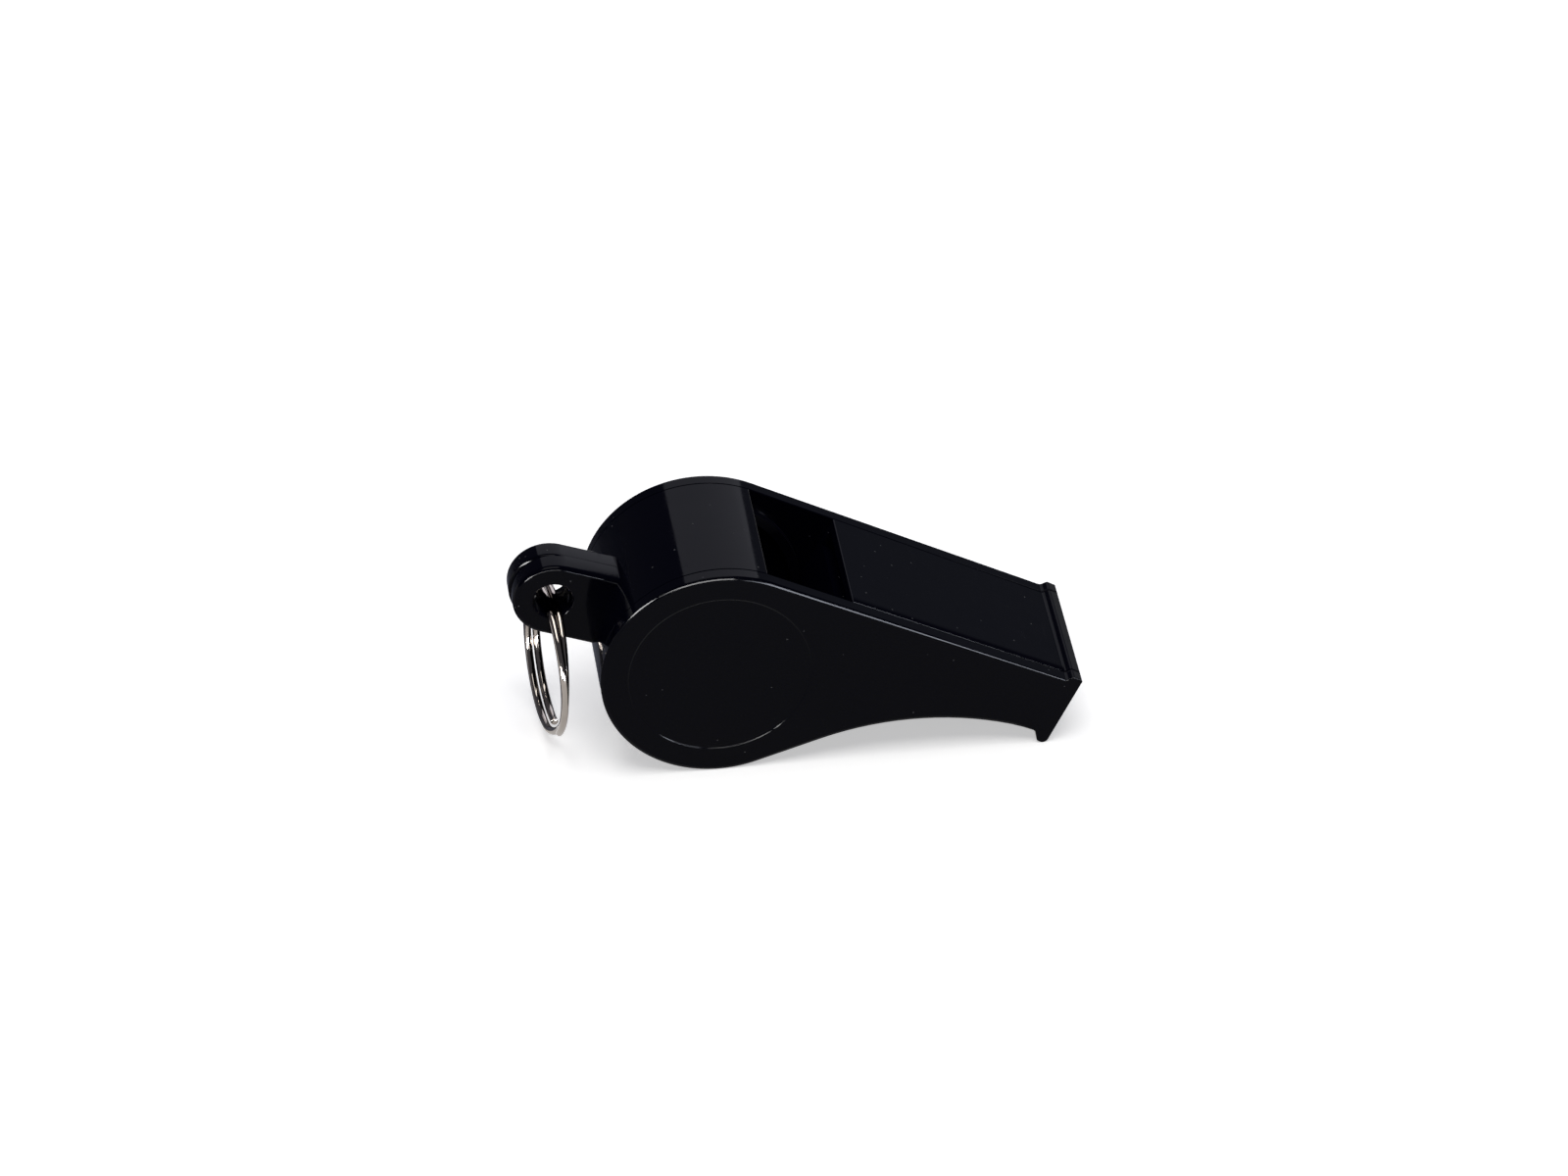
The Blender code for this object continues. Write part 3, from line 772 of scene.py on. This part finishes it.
def moulded_plastic(name, shift, dusty, dull_within=0.0):
    """Glossy black moulding: slow waves of the mould, fine hairlines and a scatter of dust specks.

    The shift moves the pattern, so that each piece has its own, and dusty is the share of specks that show.
    Within a given distance of the whistle's middle plane, which only the inside reaches, the mould is dull.
    """
    finish = Finish(name)
    across = finish.node("ShaderNodeSeparateXYZ", {"Vector": finish.place}).outputs["Y"]
    from_middle = finish.sum(across, 0.0, "ABSOLUTE")
    dull = finish.span(from_middle, dull_within - DULL_BLEND, dull_within, DULL_ROUGHNESS, 0.0)
    shifted = {"Vector": finish.place, "Location": (shift, 0.3 * shift, 0.7 * shift)}
    finish.place = finish.node("ShaderNodeMapping", shifted).outputs["Vector"]
    waves = finish.noise(160.0, 1.0)
    grain = finish.noise(2600.0, 2.0)
    hairs = finish.span(finish.noise(1.0, 4.0, (90.0, 260.0, 2600.0)), 0.62, 0.7)
    number, from_speck = finish.cells(700.0)
    seen = finish.span(number, 1 - dusty, 1.01 - dusty)
    dust = finish.sum(finish.span(from_speck, 0.075, 0.04), seen, "MULTIPLY")
    colour = finish.mix(dust, (0.0008, 0.0009, 0.0036, 1.0), (0.07, 0.07, 0.075, 1.0))
    rough = finish.span(finish.noise(700.0, 3.0), 0.3, 0.7, 0.05, 0.1)
    rough = finish.sum(rough, finish.sum(hairs, 0.06, "MULTIPLY"))
    rough = finish.sum(rough, finish.sum(dust, 0.5, "MULTIPLY"))
    rough = finish.sum(rough, dull)
    relief = finish.bump(waves, 0.00004, 0.5)
    relief = finish.bump(grain, 0.000003, 0.25, relief)
    return finish.give(Base_Color=colour, Roughness=rough, Normal=relief, Specular_IOR_Level=0.042)


def bare_cork():
    """Cork: warm brown grains with darker seams and pores."""
    finish = Finish("bare_cork")
    tone, from_grain = finish.cells(900.0)
    colour = finish.mix(tone, (0.34, 0.19, 0.085, 1.0), (0.48, 0.3, 0.15, 1.0))
    pores = finish.span(finish.noise(1500.0, 5.0), 0.56, 0.66)
    colour = finish.mix(pores, colour, (0.09, 0.045, 0.02, 1.0))
    relief = finish.bump(finish.sum(from_grain, pores, "SUBTRACT"), 0.00008, 0.6)
    rough = finish.span(pores, 0.0, 1.0, 0.78, 0.95)
    return finish.give(Base_Color=colour, Roughness=rough, Normal=relief)


def nickel_wire():
    """Bright nickel: faint clouding and rubbed patches on the plating."""
    finish = Finish("nickel_wire")
    cloud = finish.noise(500.0, 4.0)
    colour = finish.mix(cloud, (0.26, 0.232, 0.208, 1.0), (0.35, 0.315, 0.285, 1.0))
    rough = finish.span(finish.noise(1400.0, 4.0), 0.35, 0.7, 0.03, 0.1)
    relief = finish.bump(finish.noise(2200.0, 3.0), 0.000008, 0.5)
    return finish.give(Base_Color=colour, Roughness=rough, Normal=relief, Metallic=1.0)


def table_white():
    """White matt table. The camera and reflections see it lifted a little, and up to full white far away."""
    finish = Finish("table_white")
    path = finish.node("ShaderNodeLightPath").outputs
    seen = finish.sum(path["Is Camera Ray"], path["Is Glossy Ray"], "MAXIMUM")
    seen = finish.sum(seen, path["Is Transmission Ray"], "MAXIMUM")
    far = finish.node("ShaderNodeVectorMath", {0: finish.place}, operation="LENGTH").outputs["Value"]
    lift = finish.span(far, LIFT_START, LIFT_END, LIFT_NEAR, LIFT_FAR)
    tone = finish.mix(finish.noise(900.0, 4.0), (0.86, 0.86, 0.86, 1.0), (0.9, 0.9, 0.9, 1.0))
    return finish.give(
        Base_Color=tone,
        Roughness=0.9,
        Specular_IOR_Level=0.0,
        Emission_Color=(1.0, 1.0, 1.0, 1.0),
        Emission_Strength=finish.sum(seen, lift, "MULTIPLY"),
    )


def make_table(finish):
    """The table: a flat grid at the height where the whistle stands."""
    ticks = np.linspace(-TABLE_HALF, TABLE_HALF, TABLE_CELLS + 1)
    x, y = np.meshgrid(ticks, ticks)
    points = np.stack((x.ravel(), y.ravel(), np.zeros(x.size)), axis=1)
    step = len(ticks)
    first = (np.arange(TABLE_CELLS)[:, None] * step + np.arange(TABLE_CELLS)).ravel()
    faces = np.stack((first, first + 1, first + step + 1, first + step), axis=1).tolist()
    return new_piece("table", points, faces, finish)


def grey_cloth():
    """Matt dark grey that mirrors nothing."""
    grey = (0.22, 0.23, 0.28, 1.0)
    return Finish("grey_cloth").give(Base_Color=grey, Roughness=1.0, Specular_IOR_Level=0.0)


def make_flag(finish):
    """A grey card that lies behind the lug, turns up at its far end and is met by reflections alone.

    It is a strip of one width over three edges: its start, its fold and its top. It keeps the table's white
    out of the drum's back.
    """
    turn = math.radians(FLAG_AZIMUTH)
    away = np.array((math.sin(turn), -math.cos(turn), 0.0))
    aside = 0.5 * FLAG_WIDTH * np.array((away[1], -away[0], 0.0))
    foot = DRUM_AXIS * (1, 1, 0) + (0.0, 0.0, FLAG_LIFT)
    start, fold = foot + FLAG_START * away, foot + FLAG_DISTANCE * away
    top = fold + (0.0, 0.0, FLAG_HEIGHT)
    points = np.stack([edge + way for edge in (start, fold, top) for way in (-aside, aside)])
    flag = new_piece("grey_flag", points, [[0, 1, 3, 2], [2, 3, 5, 4]], finish)
    flag.visible_camera = flag.visible_diffuse = flag.visible_shadow = False
    return flag


def from_front(azimuth, elevation):
    """The way to a place round the whistle, from angles in degrees.

    Azimuth 0 is straight in front, where the left plate faces, and 90 is towards the mouth.
    """
    a, e = math.radians(azimuth), math.radians(elevation)
    return Vector((math.sin(a) * math.cos(e), -math.cos(a) * math.cos(e), math.sin(e)))


def add_lamp(name, azimuth, elevation, distance, width, height, radiance, colour, mirrored_only):
    """A soft rectangular lamp that faces the whistle. Its power is four times its radiance and its area."""
    lamp = bpy.data.lights.new(name, "AREA")
    lamp.shape, lamp.size, lamp.size_y = "RECTANGLE", width, height
    lamp.energy = 4 * radiance * width * height
    lamp.color = colour
    way = from_front(azimuth, elevation)
    made = bpy.data.objects.new(name, lamp)
    made.location = way * distance + Vector((0.0, 0.0, LAMP_AIM))
    made.rotation_euler = way.to_track_quat("Z", "Y").to_euler()
    made.visible_camera = False
    made.visible_diffuse = not mirrored_only
    bpy.context.scene.collection.objects.link(made)


def light_the_table():
    """Dark room: low strips in front that only reflections see, dim panels behind, a soft key overhead."""
    world = bpy.data.worlds.new("room")
    world.use_nodes = True
    world.node_tree.nodes["Background"].inputs["Color"].default_value = ROOM
    bpy.context.scene.world = world
    for lamps, mirrored_only in ((STRIPS, True), (PANELS, False)):
        for name, values in lamps.items():
            add_lamp(name, *values, mirrored_only)


def set_camera():
    """The camera as it stood, from its distance, its two angles and its roll."""
    azimuth, roll = math.radians(CAMERA_AZIMUTH), math.radians(CAMERA_ROLL)
    right = Vector((math.cos(azimuth), math.sin(azimuth), 0.0))
    back = from_front(CAMERA_AZIMUTH, CAMERA_ELEVATION)
    up = back.cross(right)
    place = Vector(DRUM_AXIS) + CAMERA_RIGHT * right + CAMERA_UP * up + CAMERA_BACK * back
    rolled_right = math.cos(roll) * right + math.sin(roll) * up
    rolled_up = math.cos(roll) * up - math.sin(roll) * right
    data = bpy.data.cameras.new("camera")
    data.lens, data.sensor_width, data.clip_start = CAMERA_LENS, CAMERA_SENSOR, CAMERA_CLIP
    camera = bpy.data.objects.new("camera", data)
    turn = Matrix((rolled_right, rolled_up, back)).transposed().to_4x4()
    camera.matrix_world = Matrix.Translation(place * MM) @ turn
    bpy.context.scene.collection.objects.link(camera)
    bpy.context.scene.camera = camera


def put(piece, body, node):
    """Hangs a piece on its body in place of its solid, and hides that solid."""
    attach(piece, body)
    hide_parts(node)


bpy.context.scene.view_settings.view_transform = "Standard"
body_finish = moulded_plastic("body_plastic_gloss", 0.0, BODY_DUST)
body = make_body(body_finish)
join_lug(body, make_lug(body_finish))
put(body, "whistle", "whistle_body")
left_finish = moulded_plastic("left_plate_gloss", 0.55, PLATE_DUST, PLATE_DULL_WITHIN)
left = make_plate("left_plate_moulding", -1, left_finish)
put(left, "whistle", "left_side_plate")
right_finish = moulded_plastic("right_plate_gloss", 0.9, PLATE_DUST, PLATE_DULL_WITHIN)
right = make_plate("right_plate_moulding", 1, right_finish)
put(right, "whistle", "right_side_plate")
put(make_pea(bare_cork()), "pea", "pea")
put(make_ring(nickel_wire()), "split_ring", "split_ring")
make_table(table_white())
make_flag(grey_cloth())
light_the_table()
set_camera()
